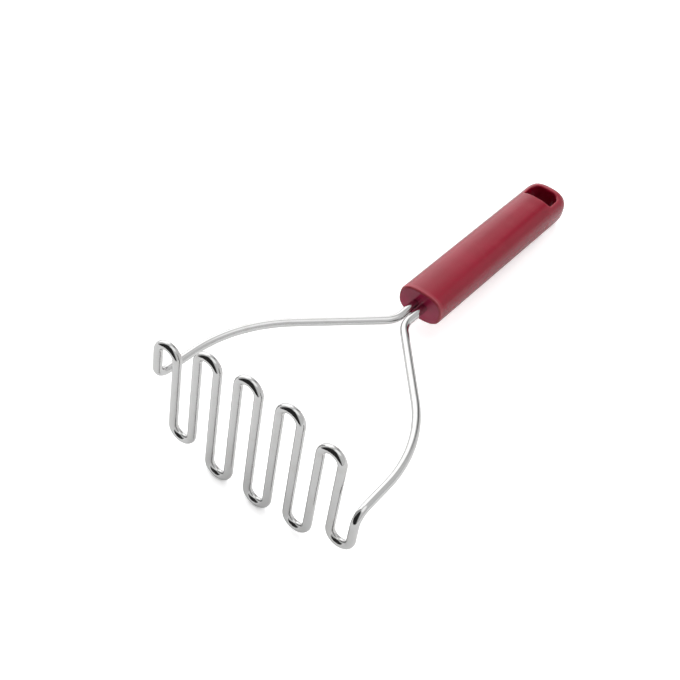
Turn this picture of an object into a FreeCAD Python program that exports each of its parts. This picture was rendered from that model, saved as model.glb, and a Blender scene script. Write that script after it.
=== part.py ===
import FreeCAD, Part
import math
import os

# Wire potato masher: one bent steel wire whose two ends are moulded into a plastic handle.
#
# The tool is first built in its own straight frame, in millimetres: +Y runs up the handle,
# the mashing face is the plane y = 0 and the two arms lie in the plane z = 0.  It is then
# laid down as it rests on a table: on two bends of the wire and the end of the handle.

os.makedirs("parts", exist_ok=True)

# ---------------------------------------------------------------- driving dimensions

# Mashing wire
WIRE_DIAMETER = 4.4
LEG_PITCH = 11.6                             # from one leg's centreline to the next
BEND_REACH = (35.0, 35.0, 32.3, 28.3, 23.0)  # centreline reach of the bends, middle one first
CORNER_RADIUS = 6.5                          # where the outermost legs turn up into the arms

# Arms
ARM_FOOT_LENGTH = 16.5
ARM_FOOT_LEAN = 2.0                          # degrees outwards from the handle's line
SHOULDER_RADIUS = 78.5
SHOULDER_SLOPE = 42.1                        # degrees from the handle's line
NECK_RADIUS = 14.5
SHANK_GAP = 0.6                              # clear gap between the two shanks
SHANK_EXPOSED = 12.1                         # straight shank between the neck and the handle

# Shank ends inside the handle, pressed flat so that they can't pull out
SHANK_DEPTH = 46.0
PADDLE_LENGTH = 12.0
PADDLE_THICKNESS = 3.0
PADDLE_HEIGHT = 6.0

# Handle: it grows a little narrower and a little thicker towards the tail
HANDLE_LENGTH = 130.3
FRONT_WIDTH = 25.7
FRONT_THICKNESS = 17.6
TAIL_WIDTH = 24.8
TAIL_THICKNESS = 20.4
FACE_CROWN = 40.0                            # radius of the broad top and bottom faces
SIDE_CROWN = 14.0                            # radius of the narrow sides
EDGE_ROUND = 5.6                             # radius between the broad faces and the sides
FRONT_FILLET = 1.3
TAIL_CORNER = 8.0                            # tail corners, seen from above
TAIL_EDGE = 7.3                              # tail edges, seen from the side

# Hanging eye, straight across the front and round at the back corners
EYE_LENGTH = 10.6
EYE_WIDTH = 16.4
EYE_BACK_CORNER = 4.5
EYE_FRONT_CORNER = 0.8
EYE_END_WALL = 7.4                           # handle left behind the eye

# Core of the handle
SHELL_WALL = 3.0
CORE_TO_EYE = 6.0                            # solid shell between the core and the eye
GROOVE_COUNT = 3
GROOVE_WIDTH = 4.0
GROOVE_DEPTH = 1.2

# ---------------------------------------------------------------- worked out from them

wire_radius = WIRE_DIAMETER / 2
shank_x = (WIRE_DIAMETER + SHANK_GAP) / 2
bend_radius = LEG_PITCH / 2
bend_count = 2 * len(BEND_REACH)
half_span = LEG_PITCH * bend_count / 2

slope = math.radians(SHOULDER_SLOPE)
lean = math.radians(ARM_FOOT_LEAN)
foot_out = (ARM_FOOT_LENGTH + CORNER_RADIUS) * math.sin(lean)
shoulder_out = SHOULDER_RADIUS * (math.cos(lean) - math.cos(slope))
neck_out = NECK_RADIUS * (1 - math.cos(slope))
diagonal_out = half_span - shank_x - foot_out - shoulder_out - neck_out
diagonal = diagonal_out / math.sin(slope)

foot_up = (ARM_FOOT_LENGTH + CORNER_RADIUS) * math.cos(lean)
shoulder_up = SHOULDER_RADIUS * (math.sin(slope) - math.sin(lean))
neck_up = NECK_RADIUS * math.sin(slope)
neck_y = foot_up + shoulder_up + diagonal * math.cos(slope) + neck_up

handle_front = neck_y + SHANK_EXPOSED
handle_tail = handle_front + HANDLE_LENGTH
shank_end = handle_front + SHANK_DEPTH
eye_back = handle_tail - EYE_END_WALL
eye_front = eye_back - EYE_LENGTH
core_front = handle_front + SHELL_WALL
core_back = eye_front - CORE_TO_EYE

X_AXIS = FreeCAD.Vector(1, 0, 0)
Y_AXIS = FreeCAD.Vector(0, 1, 0)
Z_AXIS = FreeCAD.Vector(0, 0, 1)


# ---------------------------------------------------------------- the bent wire

class Route:
    """A wire's centreline: straight runs joined by tangent arcs."""

    def __init__(self, start, heading):
        self.point = start
        self.heading = heading
        self.edges = []

    def run(self, length):
        """Go straight on."""
        end = self.point + self.heading * length
        self.edges.append(Part.LineSegment(self.point, end).toShape())
        self.point = end

    def bend(self, radius, degrees, axis):
        """Turn about an axis square to the heading, by the right-hand rule."""
        if degrees < 0:
            degrees = -degrees
            axis = axis * -1
        centre = self.point + axis.cross(self.heading) * radius
        spoke = self.point - centre
        middle = centre + FreeCAD.Rotation(axis, degrees / 2).multVec(spoke)
        whole_turn = FreeCAD.Rotation(axis, degrees)
        end = centre + whole_turn.multVec(spoke)
        self.edges.append(Part.Arc(self.point, middle, end).toShape())
        self.point = end
        self.heading = whole_turn.multVec(self.heading)


def arm_down(route):
    """The left arm, from the handle down to the head."""
    route.run(shank_end - neck_y)
    route.bend(NECK_RADIUS, -SHOULDER_SLOPE, Z_AXIS)
    route.run(diagonal)
    route.bend(SHOULDER_RADIUS, SHOULDER_SLOPE - ARM_FOOT_LEAN, Z_AXIS)
    route.run(ARM_FOOT_LENGTH)
    across = route.heading.cross(Z_AXIS)
    route.bend(CORNER_RADIUS, 90, across)


def arm_up(route):
    """The right arm, from the head up to the handle."""
    inwards = FreeCAD.Rotation(Z_AXIS, ARM_FOOT_LEAN).multVec(Y_AXIS)
    route.bend(CORNER_RADIUS, 90, Z_AXIS.cross(inwards))
    route.run(ARM_FOOT_LENGTH)
    route.bend(SHOULDER_RADIUS, SHOULDER_SLOPE - ARM_FOOT_LEAN, Z_AXIS)
    route.run(diagonal)
    route.bend(NECK_RADIUS, -SHOULDER_SLOPE, Z_AXIS)
    route.run(shank_end - neck_y)


def zigzag(route):
    """The head: bends to alternate sides, joined by straight legs."""
    for number in range(bend_count):
        side = 1 if number % 2 == 0 else -1
        reach = BEND_REACH[int(abs(number - (bend_count - 1) / 2))]
        bend_start = side * (reach - bend_radius)
        route.run(abs(bend_start - route.point.z))
        route.bend(bend_radius, 180, Y_AXIS * side)
    route.run(abs(route.point.z) - CORNER_RADIUS)


def wire_route():
    """The whole wire from the end of one shank to the end of the other."""
    route = Route(FreeCAD.Vector(-shank_x, shank_end, 0), Y_AXIS * -1)
    arm_down(route)
    zigzag(route)
    arm_up(route)
    return route


def paddle(x):
    """The flattened end of one shank, centred on the shank's line."""
    corner = FreeCAD.Vector(x - PADDLE_THICKNESS / 2, shank_end - PADDLE_LENGTH, -PADDLE_HEIGHT / 2)
    block = Part.makeBox(PADDLE_THICKNESS, PADDLE_LENGTH, PADDLE_HEIGHT, corner)
    return block.makeFillet(PADDLE_THICKNESS / 3, block.Edges)


def masher_wire():
    route = wire_route()
    path = Part.Wire(route.edges)
    start = FreeCAD.Vector(-shank_x, shank_end, 0)
    section = Part.Wire([Part.makeCircle(wire_radius, start, Y_AXIS * -1)])
    tube = path.makePipeShell([section], True, True)
    expected = math.pi * wire_radius ** 2 * path.Length
    print("wire length %.1f mm, volume %.1f of %.1f" % (path.Length, tube.Volume, expected))
    return tube.fuse([paddle(-shank_x), paddle(shank_x)]).removeSplitter()


# ---------------------------------------------------------------- the handle

def handle_size(y):
    """The handle's width and thickness at y."""
    share = (y - handle_front) / HANDLE_LENGTH
    width = FRONT_WIDTH + (TAIL_WIDTH - FRONT_WIDTH) * share
    thickness = FRONT_THICKNESS + (TAIL_THICKNESS - FRONT_THICKNESS) * share
    return width, thickness


def oval(y, inset):
    """The handle's section at y, set in by a wall: eight tangent arcs in the XZ plane."""
    width, thickness = handle_size(y)
    half_width = width / 2 - inset
    half_height = thickness / 2 - inset
    face = FACE_CROWN - inset
    side = SIDE_CROWN - inset
    edge = EDGE_ROUND - inset
    # The edge arc's centre is (face - edge) from the face arc's centre, which lies below it on
    # the middle line, and (side - edge) from the side arc's centre on the cross line.
    face_centre = half_height - face
    side_centre = half_width - side
    gap = math.hypot(side_centre, face_centre)
    along = ((face - edge) ** 2 - (side - edge) ** 2 + gap ** 2) / (2 * gap)
    aside = math.sqrt((face - edge) ** 2 - along ** 2)
    unit_x = side_centre / gap
    unit_z = -face_centre / gap
    edge_x = along * unit_x + aside * unit_z
    edge_z = face_centre + along * unit_z - aside * unit_x
    if edge_z < 0:
        edge_x = along * unit_x - aside * unit_z
        edge_z = face_centre + along * unit_z + aside * unit_x
    face_turn = math.atan2(edge_z - face_centre, edge_x)
    side_turn = math.atan2(edge_z, edge_x - side_centre)

    def on_arc(centre_x, centre_z, radius, angle):
        return FreeCAD.Vector(centre_x + radius * math.cos(angle), y, centre_z + radius * math.sin(angle))

    edges = []
    for turn in (0, 180):
        flip = FreeCAD.Rotation(Y_AXIS, turn)
        arcs = [
            (side_centre, 0, side, -side_turn, side_turn),
            (edge_x, edge_z, edge, side_turn, face_turn),
            (0, face_centre, face, face_turn, math.pi - face_turn),
            (-edge_x, edge_z, edge, math.pi - face_turn, math.pi - side_turn),
        ]
        for centre_x, centre_z, radius, begin, finish in arcs:
            angles = (begin, (begin + finish) / 2, finish)
            points = [flip.multVec(on_arc(centre_x, centre_z, radius, angle)) for angle in angles]
            edges.append(Part.Arc(*points).toShape())
    return Part.Wire(edges)


def oval_bar(start, end, inset):
    """A tapered bar of the handle's section."""
    return Part.makeLoft([oval(start, inset), oval(end, inset)], True, True)


def rounded_sheet(points, radii, thickness, direction):
    """A flat plate through the points, each corner rounded by its own radius."""
    edges = []
    count = len(points)
    cuts = []
    for index in range(count):
        point = points[index]
        back = (points[index - 1] - point).normalize()
        ahead = (points[(index + 1) % count] - point).normalize()
        radius = radii[index]
        bisector = (back + ahead).normalize()
        half_angle = bisector.getAngle(ahead)
        setback = radius / math.tan(half_angle)
        centre = point + bisector * (radius / math.sin(half_angle))
        cuts.append((point + back * setback, centre - bisector * radius, point + ahead * setback, radius))
    for index in range(count):
        before, middle, after, radius = cuts[index]
        if radius > 0:
            edges.append(Part.Arc(before, middle, after).toShape())
        following = cuts[(index + 1) % count][0]
        edges.append(Part.LineSegment(after, following).toShape())
    plate = Part.Face(Part.Wire(edges)).extrude(direction * thickness)
    plate.translate(direction * (-thickness / 2))
    return plate


def handle_outside():
    """The whole handle with its rounded tail, before anything is cut from it."""
    bar = oval_bar(handle_front, handle_tail, 0)
    front_edges = [edge for edge in bar.Edges if abs(edge.CenterOfMass.y - handle_front) < 0.001]
    bar = bar.makeFillet(FRONT_FILLET, front_edges)
    before = handle_front - 1
    wide, tall = handle_size(before)
    from_above = [
        FreeCAD.Vector(-wide / 2, before, 0),
        FreeCAD.Vector(wide / 2, before, 0),
        FreeCAD.Vector(TAIL_WIDTH / 2, handle_tail, 0),
        FreeCAD.Vector(-TAIL_WIDTH / 2, handle_tail, 0),
    ]
    from_side = [
        FreeCAD.Vector(0, before, -tall / 2),
        FreeCAD.Vector(0, before, tall / 2),
        FreeCAD.Vector(0, handle_tail, TAIL_THICKNESS / 2),
        FreeCAD.Vector(0, handle_tail, -TAIL_THICKNESS / 2),
    ]
    corners_above = rounded_sheet(from_above, (0, 0, TAIL_CORNER, TAIL_CORNER), 2 * TAIL_THICKNESS, Z_AXIS)
    corners_side = rounded_sheet(from_side, (0, 0, TAIL_EDGE, TAIL_EDGE), 2 * FRONT_WIDTH, X_AXIS)
    return bar.common(corners_above).common(corners_side)


def hanging_eye():
    """The eye's opening, straight through the handle's thickness."""
    half = EYE_WIDTH / 2
    outline = [
        FreeCAD.Vector(-half, eye_front, 0),
        FreeCAD.Vector(half, eye_front, 0),
        FreeCAD.Vector(half, eye_back, 0),
        FreeCAD.Vector(-half, eye_back, 0),
    ]
    radii = (EYE_FRONT_CORNER, EYE_FRONT_CORNER, EYE_BACK_CORNER, EYE_BACK_CORNER)
    return rounded_sheet(outline, radii, 2 * TAIL_THICKNESS, Z_AXIS)


def handle_core(wire):
    """The inner moulding round the shanks, grooved so that the outer one locks on."""
    core = oval_bar(core_front, core_back, SHELL_WALL)
    step = (core_back - core_front) / (GROOVE_COUNT + 1)
    for number in range(GROOVE_COUNT):
        start = core_front + step * (number + 1) - GROOVE_WIDTH / 2
        end = start + GROOVE_WIDTH
        ring = oval_bar(start, end, SHELL_WALL / 2).cut(oval_bar(start, end, SHELL_WALL + GROOVE_DEPTH))
        core = core.cut(ring)
    return core.cut(wire)


def handle_shell(wire, core):
    """The outer red moulding: everything outside the core, with the eye in its tail."""
    return handle_outside().cut(hanging_eye()).cut(core.fuse(wire))


# ---------------------------------------------------------------- laid down on a table

def lying_angle():
    """How far the handle slopes down, in degrees, with a bend and the tail both on the table."""
    run = handle_tail - TAIL_EDGE
    drop = max(BEND_REACH) - handle_size(run)[1] / 2 + TAIL_EDGE
    return math.degrees(math.acos((TAIL_EDGE - wire_radius) / math.hypot(drop, run)) - math.atan2(run, drop))


def lay_down(pieces):
    """Turn every piece about the X axis, then stand it on z = 0, centred on the Z axis."""
    angle = lying_angle()
    for shape in pieces.values():
        shape.rotate(FreeCAD.Vector(0, 0, 0), X_AXIS, -angle)
    box = Part.makeCompound(list(pieces.values())).optimalBoundingBox(False, False)
    for shape in pieces.values():
        shape.translate(FreeCAD.Vector(-box.Center.x, -box.Center.y, -box.ZMin))
    print("handle slopes by %.3f degrees; moved by y %.3f, z %.3f" % (angle, -box.Center.y, -box.ZMin))
    print("whole tool %.2f x %.2f x %.2f mm" % (box.XLength, box.YLength, box.ZLength))


wire = masher_wire()
core = handle_core(wire)
shell = handle_shell(wire, core)
print("neck at %.2f, handle %.2f to %.2f, eye %.2f to %.2f, diagonal %.2f" % (
    neck_y, handle_front, handle_tail, eye_front, eye_back, diagonal))
pieces = {"masher_wire": wire, "handle_core": core, "handle_shell": shell}
lay_down(pieces)
for name, shape in pieces.items():
    shape.exportStep("parts/" + name + ".step")
    print("%s: valid %s, solids %d, volume %.1f" % (name, shape.isValid(), len(shape.Solids), shape.Volume))
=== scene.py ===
import math

import bmesh
import bpy
import numpy as np
from mathutils import Matrix, Vector


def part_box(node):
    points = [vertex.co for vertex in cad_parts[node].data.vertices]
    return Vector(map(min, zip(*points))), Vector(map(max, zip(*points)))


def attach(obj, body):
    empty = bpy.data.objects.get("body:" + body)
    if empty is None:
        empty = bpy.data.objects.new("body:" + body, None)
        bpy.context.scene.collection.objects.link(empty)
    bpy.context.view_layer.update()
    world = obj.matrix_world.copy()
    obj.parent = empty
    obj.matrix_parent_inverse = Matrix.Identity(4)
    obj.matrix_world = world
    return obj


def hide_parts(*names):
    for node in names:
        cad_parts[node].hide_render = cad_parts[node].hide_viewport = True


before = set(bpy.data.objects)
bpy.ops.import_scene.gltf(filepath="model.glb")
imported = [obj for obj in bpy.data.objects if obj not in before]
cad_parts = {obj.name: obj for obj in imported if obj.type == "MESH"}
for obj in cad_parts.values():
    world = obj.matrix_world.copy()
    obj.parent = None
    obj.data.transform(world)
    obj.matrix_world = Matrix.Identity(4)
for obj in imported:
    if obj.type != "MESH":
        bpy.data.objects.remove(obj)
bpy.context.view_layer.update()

# The masher's own frame, in metres: +Y runs up the handle, the mashing face is y = 0 and the two
# arms lie in the plane z = 0.  Everything is made there, then laid down as the CAD model lies.
MM = 0.001

# Mashing wire
WIRE_RADIUS = 2.2 * MM
LEG_PITCH = 11.6 * MM
BEND_REACH = np.array([35.0, 35.0, 32.3, 28.3, 23.0]) * MM  # middle bend first
CORNER_RADIUS = 6.5 * MM

# Arms and shanks
FOOT_LENGTH = 16.5 * MM
FOOT_LEAN = math.radians(2.0)
SHOULDER_RADIUS = 78.5 * MM
SHOULDER_SLOPE = math.radians(42.1)
NECK_RADIUS = 14.5 * MM
SHANK_X = 2.5 * MM
SHANK_EXPOSED = 12.1 * MM
SHANK_DEPTH = 46.0 * MM
PADDLE_LENGTH = 12.0 * MM
PADDLE_EASE = 0.3           # share of the paddle over which the round wire turns into an oval
PADDLE_THINNING = 0.3       # how much narrower than the round wire the pressed oval is

# Handle
HANDLE_LENGTH = 130.3 * MM
FRONT_HALF_WIDTH = 12.85 * MM
FRONT_HALF_THICKNESS = 8.8 * MM
TAIL_HALF_WIDTH = 12.4 * MM
TAIL_HALF_THICKNESS = 10.2 * MM
OVAL_POWER = 2.7
TAIL_ROUND = 11.8 * MM
TAIL_POWER = 3.8
TAIL_EDGE = 7.3 * MM        # radius of the tail's edge where it rests on the table
FRONT_FILLET = 1.3 * MM

# Hanging eye
EYE_LENGTH = 10.6 * MM
EYE_WIDTH = 16.4 * MM
EYE_BACK_CORNER = 4.5 * MM
EYE_FRONT_CORNER = 0.9 * MM
EYE_END_WALL = 7.4 * MM
EYE_RIM = 1.5 * MM

# Painted highlight on the handle's edges: a lighter pink band along the front fillet and the
# eye's rim that stands in for light glinting there.  Each band's middle and reach are shares of
# its edge's radius.
EYE_HIGHLIGHT_SHARE = 0.3              # the painted highlight on the eye's rim is weaker than on the front edge
EYE_HIGHLIGHT_MIDDLE = 0.6
EYE_HIGHLIGHT_REACH = 0.6
FRONT_HIGHLIGHT_MIDDLE = 0.55
FRONT_HIGHLIGHT_REACH = 0.75
FLAT_FACE_DEPTH = 0.02 * MM  # points nearer the front than this belong to the flat face

# How finely the surfaces are drawn
RUN_STEP = 1.5 * MM
BEND_STEP = math.radians(3)
LEAST_RUN_STEPS = 2
LEAST_BEND_STEPS = 4
WIRE_SIDES = 36
HALF_RING_STEPS = 128       # steps round the upper half of the handle's section
SEAM_TO_EYE = 6.0 * MM      # the body's and the tail's surfaces meet this far before the eye
FILLET_ROWS = 9
BODY_ROWS = 60
FACE_RINGS = 30
SIDE_ROWS = 14
TAIL_POINTS = 161
ACROSS_POINTS = 44
RIM_STEPS = 10
WALL_STEPS = 10
EYE_FRONT_POINTS = 40
EYE_BACK_POINTS = 80
EYE_TRACE_POINTS = 2001
OUTLINE_CROWDING = 2.2      # powers that gather points towards the outline and the eye's rim
RIM_CROWDING = 1.5
RIM_BAND = 1.6              # width of the finely drawn band along the rim, in rim radii
ROW_DIGITS = 9              # rows that agree to this many decimals of a metre are one row
WELD_REACH = 0.004 * MM
SHORTEST_EDGE = 0.0001 * MM

# Surface life: noise settings, and the ranges that are eased from 0 to 1
GRAIN_NOISE = {"Detail": 3.0, "Roughness": 0.6}
TONE_NOISE = {"Scale": 38.0, "Detail": 3.0, "Roughness": 0.55}
TONE_RANGE = (0.3, 0.7)
SMEAR_NOISE = {"Scale": 75.0, "Detail": 4.0, "Roughness": 0.5, "Distortion": 1.2}
SMEAR_RANGE = (0.48, 0.72)
LINE_NOISE = {"Scale": 7.0, "Detail": 5.0, "Roughness": 0.7}
LINE_PACE = 18.0            # how fast the drawn lines change along the wire
LINE_RANGE = (0.3, 0.75)

# Polished steel
STEEL_GRAIN = 900.0
STEEL_DARK = (0.54, 0.54, 0.54)
STEEL_LIGHT = (0.61, 0.61, 0.605)
STEEL_SMEAR = (0.50, 0.49, 0.47)
STEEL_SMEAR_SHARE = 0.35
STEEL_ROUGHNESS = (0.085, 0.145)
STEEL_HAZE = 0.07
LINE_BUMP = 0.12
LINE_DEPTH = 0.03 * MM

# Red plastic
RED_GRAIN = 1500.0
RED_SPECULAR = 0.40
RED_DEEP = (0.220, 0.001, 0.0145)
RED_FULL = (0.247, 0.0015, 0.0185)
RED_SMEAR = (0.27, 0.006, 0.022)
RED_SMEAR_SHARE = 0.25
# painted reflection: the front face's colour is lighter and bluer, standing in for the pale room
# mirrored in its gloss
RED_FACE_REFLECTION = (0.385, 0.021, 0.074)
RED_FACE_REFLECTION_SHARE = 0.85
# painted highlight: the lighter pink laid along the front fillet and the eye's rim
RED_HIGHLIGHT_PINK = (0.42, 0.085, 0.105)
RED_HIGHLIGHT_PINK_SHARE = 0.75
RED_SATIN = (0.21, 0.27)
RED_GLOSS = 0.06
RED_BUMP = 0.10
RED_BUMP_DEPTH = 0.06 * MM

# Core plastic
CORE_GRAIN = 1200.0
CORE_DARK = (0.035, 0.035, 0.037)
CORE_LIGHT = (0.055, 0.055, 0.056)
CORE_ROUGHNESS = (0.5, 0.62)
CORE_BUMP = 0.2
CORE_BUMP_DEPTH = 0.1 * MM

# Floor
FLOOR_SIZE = 8.0
FLOOR_FRONT = -0.31         # the paper ends a little way in front of the masher
FLOOR_WHITE = 0.9
FLOOR_ROUGHNESS = 0.9
FLOOR_GLOW = 0.45           # brightens the paper for the camera only

# Light.  Angles in degrees: azimuth 0 is along +Y and 90 along +X.
ROOM_LIGHT = 0.80
WALL = {"centre": 2, "half": 8, "soft": 6, "low": 8, "high": 38, "brightness": 0.17}
WINDOW = {"centre": -59, "half": 34, "soft": 7, "low": -20, "high": 57, "brightness": 1.84}
CORNER = {"centre": -169, "half": 51, "soft": 9, "low": -30, "high": 75, "brightness": 0.03}
LAMP_AZIMUTH = math.radians(55)
LAMP_ELEVATION = math.radians(70)
LAMP_OUTER = math.radians(30)
LAMP_INNER = math.radians(16)
LAMP_LIGHT = 1.45
FILL_LIGHT = 1.25           # light that falls on dull surfaces, where the room's level is 1
FILL_POWER = 2.4            # how much more the bright parts of the room count there
BACKDROP_LIGHT = 1.0        # what the camera sees beyond the floor

# Camera
AIM = Vector((-8.92, -52.95, 37.0)) * MM
CAMERA_DISTANCE = 596.46 * MM
CAMERA_AZIMUTH = math.radians(33.932)
CAMERA_ELEVATION = math.radians(48.627)
CAMERA_ROLL = math.radians(5.914)
LENS = 66.533
SENSOR_WIDTH = 36

# What follows from the sizes
bend_count = 2 * len(BEND_REACH)
half_span = LEG_PITCH * bend_count / 2
bend_radius = LEG_PITCH / 2
foot_out = (FOOT_LENGTH + CORNER_RADIUS) * math.sin(FOOT_LEAN)
shoulder_out = SHOULDER_RADIUS * (math.cos(FOOT_LEAN) - math.cos(SHOULDER_SLOPE))
neck_out = NECK_RADIUS * (1 - math.cos(SHOULDER_SLOPE))
diagonal_out = half_span - SHANK_X - foot_out - shoulder_out - neck_out
diagonal = diagonal_out / math.sin(SHOULDER_SLOPE)
neck_y = (
    (FOOT_LENGTH + CORNER_RADIUS) * math.cos(FOOT_LEAN)
    + SHOULDER_RADIUS * (math.sin(SHOULDER_SLOPE) - math.sin(FOOT_LEAN))
    + diagonal * math.cos(SHOULDER_SLOPE)
    + NECK_RADIUS * math.sin(SHOULDER_SLOPE)
)
handle_front = neck_y + SHANK_EXPOSED
handle_tail = handle_front + HANDLE_LENGTH
shank_end = handle_front + SHANK_DEPTH
eye_back = handle_tail - EYE_END_WALL
eye_front = eye_back - EYE_LENGTH
seam_y = eye_front - SEAM_TO_EYE


# ---------------------------------------------------------------- meshes

def make_mesh(name, points, faces, material, uv=None):
    """A smooth mesh object from arrays of points, faces and, per face corner, a UV place."""
    mesh = bpy.data.meshes.new(name)
    mesh.from_pydata(points.tolist(), [], faces)
    mesh.polygons.foreach_set("use_smooth", np.ones(len(mesh.polygons), dtype=bool))
    if uv is not None:
        layer = mesh.uv_layers.new(name="surface")
        layer.data.foreach_set("uv", uv.astype(np.float32).ravel())
    mesh.materials.append(material)
    mesh.validate()
    piece = bpy.data.objects.new(name, mesh)
    bpy.context.collection.objects.link(piece)
    return piece


def grid_faces(rows, columns, wrap_columns):
    """Quads between the neighbours of a rows x columns grid of points, numbered row by row."""
    last = columns if wrap_columns else columns - 1
    row, column = np.meshgrid(np.arange(rows - 1), np.arange(last), indexing="ij")
    beside = (column + 1) % columns
    quads = np.stack([
        row * columns + column,
        row * columns + beside,
        (row + 1) * columns + beside,
        (row + 1) * columns + column,
    ], axis=-1)
    return quads.reshape(-1, 4)


# ---------------------------------------------------------------- the wire's route

class Route:
    """A centreline of straight runs and tangent arcs, sampled with a frame that never twists."""

    def __init__(self, start, heading, side):
        self.point = np.array(start, dtype=float)
        self.heading = np.array(heading, dtype=float)
        self.side = np.array(side, dtype=float)
        self.points = [self.point[None]]
        self.sides = [self.side[None]]
        self.headings = [self.heading[None]]

    def add(self, points, headings, sides):
        """Takes the samples into the route and moves its end to the last of them."""
        self.points.append(points)
        self.headings.append(headings)
        self.sides.append(sides)
        self.point = points[-1]
        self.heading = headings[-1]
        self.side = sides[-1]

    def run(self, length):
        """Points start + t * heading, with t from 0 to the length."""
        count = max(LEAST_RUN_STEPS, int(round(length / RUN_STEP)))
        t = np.linspace(0, length, count + 1)[1:, None]
        same = np.ones_like(t)
        self.add(self.point + t * self.heading, same * self.heading, same * self.side)

    def bend(self, radius, angle, axis):
        """The point, heading and side turned about the arc's axis by t, from 0 to the angle."""
        axis = np.array(axis, dtype=float)
        if angle < 0:
            angle, axis = -angle, -axis
        step = min(BEND_STEP, RUN_STEP / radius)
        count = max(LEAST_BEND_STEPS, int(round(angle / step)))
        t = np.linspace(0, angle, count + 1)[1:, None]
        inward = np.cross(axis, self.heading)
        centre = self.point + radius * inward

        def turned(vector):
            """The vector turned by t: its part along the axis stays, the rest goes round."""
            along = axis * (axis @ vector)
            across = vector - along
            return along + np.cos(t) * across + np.sin(t) * np.cross(axis, vector)

        points = centre + turned(self.point - centre)
        self.add(points, turned(self.heading), turned(self.side))


def masher_route():
    """The wire from the end of one shank, round the head, to the end of the other."""
    along_handle = np.array([0.0, 1.0, 0.0])
    upwards = np.array([0.0, 0.0, 1.0])
    route = Route((-SHANK_X, shank_end, 0), -along_handle, (1, 0, 0))
    route.run(shank_end - neck_y)
    route.bend(NECK_RADIUS, -SHOULDER_SLOPE, upwards)
    route.run(diagonal)
    route.bend(SHOULDER_RADIUS, SHOULDER_SLOPE - FOOT_LEAN, upwards)
    route.run(FOOT_LENGTH)
    route.bend(CORNER_RADIUS, math.pi / 2, np.cross(route.heading, upwards))
    for number in range(bend_count):
        sign = 1 if number % 2 == 0 else -1
        reach = BEND_REACH[int(abs(number - (bend_count - 1) / 2))]
        route.run(abs(sign * (reach - bend_radius) - route.point[2]))
        route.bend(bend_radius, math.pi, sign * along_handle)
    route.run(abs(route.point[2]) - CORNER_RADIUS)
    inwards = np.array([-math.sin(FOOT_LEAN), math.cos(FOOT_LEAN), 0.0])
    route.bend(CORNER_RADIUS, math.pi / 2, np.cross(upwards, inwards))
    route.run(FOOT_LENGTH)
    route.bend(SHOULDER_RADIUS, SHOULDER_SLOPE - FOOT_LEAN, upwards)
    route.run(diagonal)
    route.bend(NECK_RADIUS, -SHOULDER_SLOPE, upwards)
    route.run(shank_end - neck_y)
    samples = (route.points, route.headings, route.sides)
    return [np.concatenate(sample) for sample in samples]


def wire_surface():
    """A circle of the wire's radius carried along its route; near the two shank ends the circle
    is pressed into an oval of the same area, thin from side to side."""
    points, headings, sides = masher_route()
    fronts = np.cross(headings, sides)
    travelled = np.r_[0, np.cumsum(np.linalg.norm(np.diff(points, axis=0), axis=1))]
    to_end = np.minimum(travelled, travelled[-1] - travelled)
    pressed = np.clip((PADDLE_LENGTH - to_end) / (PADDLE_EASE * PADDLE_LENGTH), 0, 1)
    thin = 1 - PADDLE_THINNING * pressed * pressed * (3 - 2 * pressed)
    turn = np.linspace(0, 2 * np.pi, WIRE_SIDES, endpoint=False)
    side_reach = (WIRE_RADIUS * thin)[:, None, None] * np.cos(turn)[None, :, None]
    front_reach = (WIRE_RADIUS / thin)[:, None, None] * np.sin(turn)[None, :, None]
    rings = points[:, None] + side_reach * sides[:, None] + front_reach * fronts[:, None]
    faces = grid_faces(len(points), WIRE_SIDES, True)
    last_ring = (len(points) - 1) * WIRE_SIDES
    first_cap = list(range(WIRE_SIDES))[::-1]
    last_cap = [last_ring + k for k in range(WIRE_SIDES)]

    # UV: metres round the wire and metres along it, so that the lines keep their scale
    around = np.arange(WIRE_SIDES + 1) / WIRE_SIDES * 2 * np.pi * WIRE_RADIUS
    row = faces[:, 0] // WIRE_SIDES
    column = faces[:, 0] % WIRE_SIDES
    corner_u = np.stack(
        [around[column], around[column + 1], around[column + 1], around[column]], axis=1)
    corner_v = np.stack(
        [travelled[row], travelled[row], travelled[row + 1], travelled[row + 1]], axis=1)
    uv = np.stack([corner_u, corner_v], axis=-1).reshape(-1, 2)
    cap_uv = np.zeros((2 * WIRE_SIDES, 2))
    all_faces = faces.tolist() + [first_cap, last_cap]
    return rings.reshape(-1, 3), all_faces, np.concatenate([uv, cap_uv])


# ---------------------------------------------------------------- the handle's surface

def half_width(y):
    """Half the handle's width, changing evenly from the front to the tail."""
    growth = TAIL_HALF_WIDTH - FRONT_HALF_WIDTH
    return FRONT_HALF_WIDTH + growth * (y - handle_front) / HANDLE_LENGTH


def half_thickness(y):
    """Half the handle's thickness, changing evenly from the front to the tail."""
    growth = TAIL_HALF_THICKNESS - FRONT_HALF_THICKNESS
    return FRONT_HALF_THICKNESS + growth * (y - handle_front) / HANDLE_LENGTH


def front_shrink(y):
    """How far the section draws in near the front: a quarter round of the front fillet."""
    into = np.clip(FRONT_FILLET - (y - handle_front), 0, FRONT_FILLET)
    return FRONT_FILLET - np.sqrt(FRONT_FILLET ** 2 - into ** 2)


def eye_distance(x, y):
    """Distance outside the eye's outline: a box with one radius on each corner."""
    middle = (eye_front + eye_back) / 2
    corner = np.where(y > middle, EYE_BACK_CORNER, EYE_FRONT_CORNER)
    out_x = np.abs(x) - EYE_WIDTH / 2 + corner
    out_y = np.abs(y - middle) - EYE_LENGTH / 2 + corner
    outside = np.hypot(np.maximum(out_x, 0), np.maximum(out_y, 0))
    return outside + np.minimum(np.maximum(out_x, out_y), 0) - corner


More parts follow.
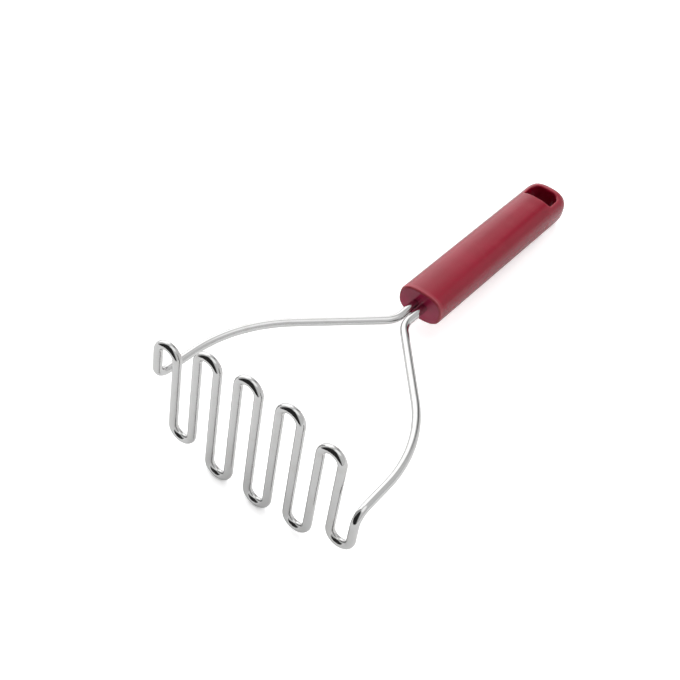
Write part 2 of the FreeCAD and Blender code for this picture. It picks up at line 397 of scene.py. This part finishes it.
def top_height(x, y):
    """Height of the handle's top above its middle plane.  A power oval across the handle, which
    a second power term rounds down over the tail, less a quarter round along the eye's rim."""
    shrink = front_shrink(y)
    across = np.abs(x / (half_width(y) - shrink)) ** OVAL_POWER
    over = (np.clip(y - (handle_tail - TAIL_ROUND), 0, None) / TAIL_ROUND) ** TAIL_POWER
    left = np.clip(1 - across - over, 0, None)
    height = (half_thickness(y) - shrink) * left ** (1 / OVAL_POWER)
    into = np.clip(EYE_RIM - eye_distance(x, y), 0, EYE_RIM)
    drop = EYE_RIM - np.sqrt(EYE_RIM ** 2 - into ** 2)
    return height - drop


def eye_outline(share):
    """Points on the eye's outline, a box with two sharp and two round corners.  Shares from 0
    to 1 of its length run round it from the front edge's left end."""
    half = EYE_WIDTH / 2
    front, back = EYE_FRONT_CORNER, EYE_BACK_CORNER
    quarter = math.pi / 2

    def arc(cx, cy, radius, start, end, count):
        """Centre plus radius times cosine and sine of the turn, counted in quarters."""
        t = np.linspace(start * quarter, end * quarter, count)
        return np.stack([cx + radius * np.cos(t), cy + radius * np.sin(t)], axis=1)

    front_y = eye_front + front
    back_y = eye_back - back
    trace = np.concatenate([
        arc(-half + front, front_y, front, 2.5, 3, EYE_FRONT_POINTS),
        arc(half - front, front_y, front, 3, 4, EYE_FRONT_POINTS),
        arc(half - back, back_y, back, 0, 1, EYE_BACK_POINTS),
        arc(-half + back, back_y, back, 1, 2, EYE_BACK_POINTS),
        arc(-half + front, front_y, front, 2, 2.5, EYE_FRONT_POINTS),
    ])
    travelled = np.r_[0, np.cumsum(np.linalg.norm(np.diff(trace, axis=0), axis=1))]
    place = share * travelled[-1]
    return np.stack([np.interp(place, travelled, trace[:, k]) for k in (0, 1)], axis=1)


def oval_cosine(turn):
    """The turn's cosine to the power 2 / OVAL_POWER, its sign kept: an oval's reach sideways."""
    cosine = np.cos(turn)
    return np.sign(cosine) * np.abs(cosine) ** (2 / OVAL_POWER)


def half_section():
    """Shares of the half width, from -1 to 1, crowded towards the two sides."""
    return oval_cosine(np.linspace(math.pi, 0, HALF_RING_STEPS + 1))


def body_surface():
    """The straight part of the handle: the section's ring carried from the front to the seam,
    and the flat front face closed by rings that shrink to its middle."""
    share = half_section()
    fillet_turn = np.linspace(0, math.pi / 2, FILLET_ROWS)
    fillet_y = handle_front + FRONT_FILLET * (1 - np.sin(fillet_turn))
    straight_y = np.linspace(handle_front + FRONT_FILLET, seam_y, BODY_ROWS)[1:]
    rows_y = np.sort(np.unique(np.round(np.r_[fillet_y, straight_y], ROW_DIGITS)))
    wide = (half_width(rows_y) - front_shrink(rows_y))[:, None]
    tall = (half_thickness(rows_y) - front_shrink(rows_y))[:, None]
    x_top = share[None] * wide
    z_top = tall * (1 - np.abs(share[None]) ** OVAL_POWER) ** (1 / OVAL_POWER)
    x = np.concatenate([x_top, x_top[:, -2:0:-1]], axis=1)
    z = np.concatenate([z_top, -z_top[:, -2:0:-1]], axis=1)
    y = np.repeat(rows_y[:, None], x.shape[1], axis=1)
    body = np.stack([x, y, z], axis=-1)
    scale = np.linspace(0, 1, FACE_RINGS)[1:-1, None, None]
    middle = np.array([0, handle_front, 0])
    front_face = middle + scale * (body[0] - middle)
    rings = np.concatenate([front_face, body])
    columns = rings.shape[1]
    points = np.concatenate([rings.reshape(-1, 3), middle[None]])
    faces = grid_faces(len(rings), columns, True)
    pole = np.full(columns, len(points) - 1)
    column = np.arange(columns)
    fan = np.stack([pole, (column + 1) % columns, column], axis=1)
    return points, faces[:, ::-1].tolist() + fan[:, ::-1].tolist()


def tail_outline(share):
    """The outline from above, from the seam's left end round the tail.  The tail's end is a
    power oval: its length takes the sine and its width the cosine of one turn."""
    seam = np.stack([share * half_width(seam_y), np.full(len(share), seam_y)], axis=1)
    side_y = np.linspace(seam_y, handle_tail - TAIL_ROUND, SIDE_ROWS)[1:-1]
    right = np.stack([half_width(side_y), side_y], axis=1)
    turn = np.linspace(0, math.pi, TAIL_POINTS)
    reach_y = TAIL_ROUND * np.abs(np.sin(turn)) ** (2 / TAIL_POWER)
    round_y = handle_tail - TAIL_ROUND + reach_y
    tail = np.stack([half_width(round_y) * oval_cosine(turn), round_y], axis=1)
    left = right[::-1] * np.array([-1, 1])
    return np.concatenate([seam, right, tail, left])


def eye_beside(share, outline):
    """The place on the eye that each point of the outline looks at.  The eye's front edge
    answers to the seam, and the rest of the eye to the sides and the tail."""
    front_length = EYE_WIDTH - 2 * EYE_FRONT_CORNER + math.pi / 2 * EYE_FRONT_CORNER
    trace = eye_outline(np.linspace(0, 1, EYE_TRACE_POINTS))
    front_part = front_length / np.linalg.norm(np.diff(trace, axis=0), axis=1).sum()
    beyond_seam = np.concatenate([outline[len(share) - 1:], outline[:1]])
    steps = np.linalg.norm(np.diff(beyond_seam, axis=0), axis=1)
    rest = np.cumsum(steps)[:-1] / steps.sum()
    seam_place = (share + 1) / 2 * front_part
    return eye_outline(np.r_[seam_place, front_part + rest * (1 - front_part)])


def tail_surface():
    """The tail round its eye.  Each line starts on the handle's outline, crosses the top to the
    eye's rim, goes down the eye's wall and returns below; the lines follow the outline round."""
    share = half_section()
    outline = tail_outline(share)
    reach = eye_beside(share, outline) - outline

    # along each line, points gather towards the outline and again through the rim
    t = np.linspace(0, 1, ACROSS_POINTS)
    rim_share = RIM_BAND * EYE_RIM / np.linalg.norm(reach, axis=1)[:, None]
    across = (t ** OUTLINE_CROWDING)[None] * (1 - rim_share)
    rim_t = np.linspace(0, 1, RIM_STEPS + 1)[None, 1:]
    rim = 1 - rim_share * (1 - rim_t) ** RIM_CROWDING
    gone = np.concatenate([across, rim], axis=1)
    plan = outline[:, None] + gone[..., None] * reach[:, None]

    top_z = top_height(plan[..., 0], plan[..., 1])
    on_outline = np.arange(len(outline)) >= len(share) - 1
    on_outline[0] = True
    top_z[on_outline, 0] = 0
    wall_z = top_z[:, -1:] * np.linspace(1, -1, WALL_STEPS + 1)[None, 1:-1]
    wall_plan = np.repeat(plan[:, -1:], WALL_STEPS - 1, axis=1)
    top = np.concatenate([plan, top_z[..., None]], axis=-1)
    wall = np.concatenate([wall_plan, wall_z[..., None]], axis=-1)
    below = top[:, ::-1] * np.array([1, 1, -1])
    loops = np.concatenate([top, wall, below], axis=1)
    rows, columns = loops.shape[:2]
    faces = grid_faces(rows + 1, columns, False) % (rows * columns)
    return loops.reshape(-1, 3), faces.tolist()


def handle_surface():
    """The body's and the tail's points and faces together, still to be welded at the seam."""
    body_points, body_faces = body_surface()
    tail_points, tail_faces = tail_surface()
    moved = [[index + len(body_points) for index in face] for face in tail_faces]
    return np.concatenate([body_points, tail_points]), body_faces + moved


def weld(piece):
    """Joins points that coincide along the seams and turns every face outwards."""
    mesh = bmesh.new()
    mesh.from_mesh(piece.data)
    bmesh.ops.remove_doubles(mesh, verts=mesh.verts, dist=WELD_REACH)
    bmesh.ops.dissolve_degenerate(mesh, edges=mesh.edges, dist=SHORTEST_EDGE)
    bmesh.ops.recalc_face_normals(mesh, faces=mesh.faces)
    mesh.to_mesh(piece.data)
    mesh.free()
    smooth = np.ones(len(piece.data.polygons), dtype=bool)
    piece.data.polygons.foreach_set("use_smooth", smooth)


def mark_handle(piece):
    """Stores two marks on the points before the piece is laid: front_face is 1 on the flat front
    and 0 elsewhere; the edge highlight mark is 1 on the front fillet and a smaller share on the
    eye's rim, and fades out evenly to both sides of them.  It marks where a painted highlight
    lightens the red along those edges."""
    mesh = piece.data
    place = np.empty(len(mesh.vertices) * 3)
    mesh.vertices.foreach_get("co", place)
    x, y, _ = place.reshape(-1, 3).T
    into = y - handle_front
    flat = into < FLAT_FACE_DEPTH
    from_edge = np.abs(into - FRONT_HIGHLIGHT_MIDDLE * FRONT_FILLET)
    edge = np.where(flat, 0, 1 - from_edge / (FRONT_HIGHLIGHT_REACH * FRONT_FILLET))
    from_rim = np.abs(eye_distance(x, y) - EYE_HIGHLIGHT_MIDDLE * EYE_RIM)
    rim = 1 - from_rim / (EYE_HIGHLIGHT_REACH * EYE_RIM)
    # where the painted highlight lies: full on the front fillet, weaker on the eye's rim
    painted_highlight = np.clip(np.maximum(edge, EYE_HIGHLIGHT_SHARE * rim), 0, 1)
    for name, value in (("front_face", flat), ("painted_edge_highlight", painted_highlight)):
        layer = mesh.attributes.new(name, "FLOAT", "POINT")
        layer.data.foreach_set("value", value.astype(np.float32))


# ---------------------------------------------------------------- laid down like the CAD model

def lying_matrix():
    """Turned about X until one level line touches both the wire of a bend and the circle of the
    tail's edge."""
    run = handle_tail - TAIL_EDGE
    drop = BEND_REACH.max() - half_thickness(run) + TAIL_EDGE
    touch = math.acos((TAIL_EDGE - WIRE_RADIUS) / math.hypot(drop, run))
    return Matrix.Rotation(math.atan2(run, drop) - touch, 4, "X")


def settle(pieces, lead, node):
    """Turns the pieces, then moves them together until the lead's box meets its CAD node's."""
    turn = lying_matrix()
    for piece in pieces:
        piece.data.transform(turn)
    corners = np.array([v.co for v in lead.data.vertices])
    low, high = (np.array(corner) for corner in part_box(node))
    shift = (low + high) / 2 - (corners.min(axis=0) + corners.max(axis=0)) / 2
    for piece in pieces:
        piece.data.transform(Matrix.Translation(Vector(shift)))
        piece.data.update()


# ---------------------------------------------------------------- node helpers

def add(tree, kind, sockets=None, **settings):
    """A node with its settings, and its sockets set to values or joined to other outputs."""
    node = tree.nodes.new(kind)
    for name, value in settings.items():
        setattr(node, name, value)
    for name, value in (sockets or {}).items():
        if isinstance(value, bpy.types.NodeSocket):
            tree.links.new(value, node.inputs[name])
        else:
            node.inputs[name].default_value = value
    return node


def math_node(tree, operation, first, second=None):
    """The output of one Math node."""
    sockets = {0: first} if second is None else {0: first, 1: second}
    return add(tree, "ShaderNodeMath", sockets, operation=operation).outputs[0]


def scaled(tree, value, factor):
    """The value times the factor."""
    return math_node(tree, "MULTIPLY", value, factor)


def ramp(tree, value, start, end, low=0.0, high=1.0):
    """The value eased from low at start to high at end."""
    sockets = {"Value": value, "From Min": start, "From Max": end, "To Min": low, "To Max": high}
    node = add(tree, "ShaderNodeMapRange", sockets, interpolation_type="SMOOTHSTEP")
    return node.outputs["Result"]


def between(tree, share, first, second):
    """A number between the first and the second."""
    return add(tree, "ShaderNodeMix", {"Factor": share, "A": first, "B": second}).outputs[0]


def blend(tree, share, first, second):
    """A colour between the first and the second."""
    node = add(tree, "ShaderNodeMix", data_type="RGBA")
    tree.links.new(share, node.inputs["Factor"])
    for socket, colour in ((node.inputs[6], first), (node.inputs[7], second)):
        if isinstance(colour, bpy.types.NodeSocket):
            tree.links.new(colour, socket)
        else:
            socket.default_value = (*colour, 1)
    return node.outputs[2]


def noise(tree, place, settings):
    """The value of a Noise node with the settings, read at the place."""
    return add(tree, "ShaderNodeTexNoise", {"Vector": place, **settings}).outputs["Fac"]


def new_group(name, inputs, outputs):
    """A shader node group with float sockets, and vector ones for names ending in Place."""
    group = bpy.data.node_groups.new(name, "ShaderNodeTree")
    for label in inputs:
        kind = "NodeSocketVector" if label.endswith("Place") else "NodeSocketFloat"
        group.interface.new_socket(label, in_out="INPUT", socket_type=kind)
    for label in outputs:
        group.interface.new_socket(label, in_out="OUTPUT", socket_type="NodeSocketFloat")
    given = group.nodes.new("NodeGroupInput")
    result = group.nodes.new("NodeGroupOutput")
    return group, given.outputs, result.inputs


# ---------------------------------------------------------------- materials

def surface_life():
    """What hands and the mould leave on a surface: fine grain, cloudy tone, soft smears."""
    group, given, result = new_group(
        "surface_life", ["Place", "Grain Scale"], ["Grain", "Tone", "Smear"])
    place = given["Place"]
    grain = noise(group, place, {"Scale": given["Grain Scale"], **GRAIN_NOISE})
    tone = noise(group, place, TONE_NOISE)
    smear = noise(group, place, SMEAR_NOISE)
    group.links.new(grain, result["Grain"])
    group.links.new(ramp(group, tone, *TONE_RANGE), result["Tone"])
    group.links.new(ramp(group, smear, *SMEAR_RANGE), result["Smear"])
    return group


def drawn_lines():
    """Fine lines along a wire from its drawing die.  The place round the wire is turned into a
    point on a circle, so that the pattern meets itself."""
    group, given, result = new_group("drawn_lines", ["Round", "Along"], ["Lines"])
    angle = math_node(group, "DIVIDE", given["Round"], WIRE_RADIUS)
    circle = add(group, "ShaderNodeCombineXYZ", {
        "X": math_node(group, "COSINE", angle),
        "Y": math_node(group, "SINE", angle),
        "Z": scaled(group, given["Along"], LINE_PACE)})
    group.links.new(noise(group, circle.outputs[0], LINE_NOISE), result["Lines"])
    return group


life = surface_life()
lines = drawn_lines()


def new_material(name):
    """A material, its tree and its shader."""
    material = bpy.data.materials.new(name)
    material.use_nodes = True
    tree = material.node_tree
    return material, tree, tree.nodes["Principled BSDF"]


def placed_life(tree, grain_scale):
    """The surface life group on Object coordinates."""
    place = add(tree, "ShaderNodeTexCoord").outputs["Object"]
    node = add(tree, "ShaderNodeGroup", node_tree=life)
    tree.links.new(place, node.inputs["Place"])
    node.inputs["Grain Scale"].default_value = grain_scale
    return node.outputs


def bump(tree, shader, height, strength, distance):
    """Bends the shader's normal by the height."""
    sockets = {"Strength": strength, "Distance": distance, "Height": height}
    node = add(tree, "ShaderNodeBump", sockets)
    tree.links.new(node.outputs["Normal"], shader.inputs["Normal"])


def polished_steel():
    """Round stainless wire, polished after bending: faint drawing lines under a soft haze."""
    material, tree, shader = new_material("polished_steel")
    shader.inputs["Metallic"].default_value = 1.0
    marks = placed_life(tree, STEEL_GRAIN)
    surface = add(tree, "ShaderNodeUVMap", uv_map="surface")
    apart = add(tree, "ShaderNodeSeparateXYZ", {0: surface.outputs["UV"]})
    drawn = add(tree, "ShaderNodeGroup", node_tree=lines)
    tree.links.new(apart.outputs["X"], drawn.inputs["Round"])
    tree.links.new(apart.outputs["Y"], drawn.inputs["Along"])
    line = drawn.outputs["Lines"]
    clean = blend(tree, line, STEEL_DARK, STEEL_LIGHT)
    smeared = scaled(tree, marks["Smear"], STEEL_SMEAR_SHARE)
    colour = blend(tree, smeared, clean, STEEL_SMEAR)
    tree.links.new(colour, shader.inputs["Base Color"])
    haze = scaled(tree, marks["Smear"], STEEL_HAZE)
    grooves = ramp(tree, line, *LINE_RANGE, *STEEL_ROUGHNESS)
    tree.links.new(math_node(tree, "ADD", grooves, haze), shader.inputs["Roughness"])
    bump(tree, shader, line, LINE_BUMP, LINE_DEPTH)
    return material


def red_plastic():
    """Smooth red moulding with a satin gloss; its flat front face is glossier, from a polished
    insert in the mould.  The front face's colour is lighter and bluer as a painted reflection of
    the pale room, and a lighter pink painted highlight runs along the front fillet and the eye's
    rim."""
    material, tree, shader = new_material("red_plastic")
    shader.inputs["Specular IOR Level"].default_value = RED_SPECULAR
    marks = placed_life(tree, RED_GRAIN)
    glossy = add(tree, "ShaderNodeAttribute", attribute_name="front_face").outputs["Fac"]
    colour = blend(tree, marks["Tone"], RED_DEEP, RED_FULL)
    colour = blend(tree, scaled(tree, marks["Smear"], RED_SMEAR_SHARE), colour, RED_SMEAR)
    # painted reflection: the front face is coloured lighter and bluer, as the pale room would
    # look mirrored in it
    colour = blend(tree, scaled(tree, glossy, RED_FACE_REFLECTION_SHARE), colour, RED_FACE_REFLECTION)
    # painted highlight: lighter pink along the front fillet and the eye's rim, where light glints
    painted_highlight = add(tree, "ShaderNodeAttribute", attribute_name="painted_edge_highlight").outputs["Fac"]
    colour = blend(tree, scaled(tree, painted_highlight, RED_HIGHLIGHT_PINK_SHARE), colour, RED_HIGHLIGHT_PINK)
    tree.links.new(colour, shader.inputs["Base Color"])
    satin = ramp(tree, marks["Smear"], 0.0, 1.0, *RED_SATIN)
    tree.links.new(between(tree, glossy, satin, RED_GLOSS), shader.inputs["Roughness"])
    grained = math_node(tree, "SUBTRACT", 1.0, glossy)
    grain = math_node(tree, "MULTIPLY", marks["Grain"], grained)
    bump(tree, shader, grain, RED_BUMP, RED_BUMP_DEPTH)
    return material


def core_plastic():
    """The hidden inner moulding: dull grey plastic as it left the mould."""
    material, tree, shader = new_material("core_plastic")
    marks = placed_life(tree, CORE_GRAIN)
    colour = blend(tree, marks["Tone"], CORE_DARK, CORE_LIGHT)
    tree.links.new(colour, shader.inputs["Base Color"])
    dull = ramp(tree, marks["Smear"], 0.0, 1.0, *CORE_ROUGHNESS)
    tree.links.new(dull, shader.inputs["Roughness"])
    bump(tree, shader, marks["Grain"], CORE_BUMP, CORE_BUMP_DEPTH)
    return material


def studio_floor():
    """Plain white paper, lit evenly enough that only a soft contact shadow shows."""
    material, tree, shader = new_material("studio_floor")
    shader.inputs["Base Color"].default_value = (FLOOR_WHITE, FLOOR_WHITE, FLOOR_WHITE, 1)
    shader.inputs["Roughness"].default_value = FLOOR_ROUGHNESS
    shader.inputs["Specular IOR Level"].default_value = 0.0
    shader.inputs["Emission Color"].default_value = (1, 1, 1, 1)
    seen = add(tree, "ShaderNodeLightPath").outputs["Is Camera Ray"]
    tree.links.new(scaled(tree, seen, FLOOR_GLOW), shader.inputs["Emission Strength"])
    return material


# ---------------------------------------------------------------- the masher

points, faces, uv = wire_surface()
wire = make_mesh("bent_wire", points, faces, polished_steel(), uv)
points, faces = handle_surface()
handle = make_mesh("handle_grip", points, faces, red_plastic())
weld(handle)
mark_handle(handle)
settle([wire, handle], wire, "masher_wire")

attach(wire, "root")
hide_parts("masher_wire")
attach(handle, "root")
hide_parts("handle_shell")

core = bpy.data.objects["handle_core"]
core.data.materials.clear()
core.data.materials.append(core_plastic())


# ---------------------------------------------------------------- floor, light and camera

floor_half = FLOOR_SIZE / 2
floor_corners = np.array([
    (-floor_half, FLOOR_FRONT, 0), (floor_half, FLOOR_FRONT, 0),
    (floor_half, floor_half, 0), (-floor_half, floor_half, 0)])
floor = make_mesh("studio_floor", floor_corners, [[0, 1, 2, 3]], studio_floor())


def towards(azimuth, elevation):
    """The unit vector that points up by the elevation, towards the azimuth from +Y."""
    level = math.cos(elevation)
    return Vector((math.sin(azimuth) * level, math.cos(azimuth) * level, math.sin(elevation)))


def studio_light():
    """An even room: a large window to the left, a soft lamp overhead, a dim wall beyond the tail
    and an unlit corner in front.  Each is a soft-edged patch of the world's directions."""
    world = bpy.data.worlds.new("studio")
    world.use_nodes = True
    tree = world.node_tree
    direction = add(tree, "ShaderNodeTexCoord").outputs["Generated"]
    apart = add(tree, "ShaderNodeSeparateXYZ", {0: direction}).outputs
    azimuth = math_node(tree, "ARCTAN2", apart["X"], apart["Y"])
    elevation = math_node(tree, "ARCSINE", apart["Z"])
    rad = math.radians

    def patch(level, centre, half, soft, low, high, brightness):
        """The level changed to the patch's brightness."""
        away = math_node(tree, "SUBTRACT", azimuth, rad(centre))
        away = math_node(tree, "ARCCOSINE", math_node(tree, "COSINE", away))
        across = ramp(tree, away, rad(half + soft), rad(half - soft))
        under = ramp(tree, elevation, rad(high + soft), rad(high - soft))
        over = ramp(tree, elevation, rad(low - soft), rad(low + soft))
        upright = math_node(tree, "MULTIPLY", under, over)
        return between(tree, math_node(tree, "MULTIPLY", across, upright), level, brightness)

    level = patch(ROOM_LIGHT, **WALL)
    level = patch(level, **WINDOW)
    lamp = {0: direction, 1: towards(LAMP_AZIMUTH, LAMP_ELEVATION)}
    facing = add(tree, "ShaderNodeVectorMath", lamp, operation="DOT_PRODUCT").outputs["Value"]
    near = ramp(tree, facing, math.cos(LAMP_OUTER), math.cos(LAMP_INNER))
    level = between(tree, near, level, LAMP_LIGHT)
    level = patch(level, **CORNER)
    rays = add(tree, "ShaderNodeLightPath").outputs
    fill = scaled(tree, math_node(tree, "POWER", level, FILL_POWER), FILL_LIGHT)
    level = between(tree, rays["Is Diffuse Ray"], level, fill)
    level = between(tree, rays["Is Camera Ray"], level, BACKDROP_LIGHT)
    background = tree.nodes["Background"]
    background.inputs["Color"].default_value = (1, 1, 1, 1)
    tree.links.new(level, background.inputs["Strength"])
    return world


bpy.context.scene.world = studio_light()

camera_data = bpy.data.cameras.new("camera")
camera_data.lens = LENS
camera_data.sensor_width = SENSOR_WIDTH
camera = bpy.data.objects.new("camera", camera_data)
bpy.context.collection.objects.link(camera)
back = towards(math.pi - CAMERA_AZIMUTH, CAMERA_ELEVATION)
aim = back.to_track_quat("Z", "Y").to_matrix() @ Matrix.Rotation(CAMERA_ROLL, 3, "Z")
camera.matrix_world = Matrix.Translation(AIM + back * CAMERA_DISTANCE) @ aim.to_4x4()
bpy.context.scene.camera = camera
bpy.context.scene.view_settings.view_transform = "Standard"
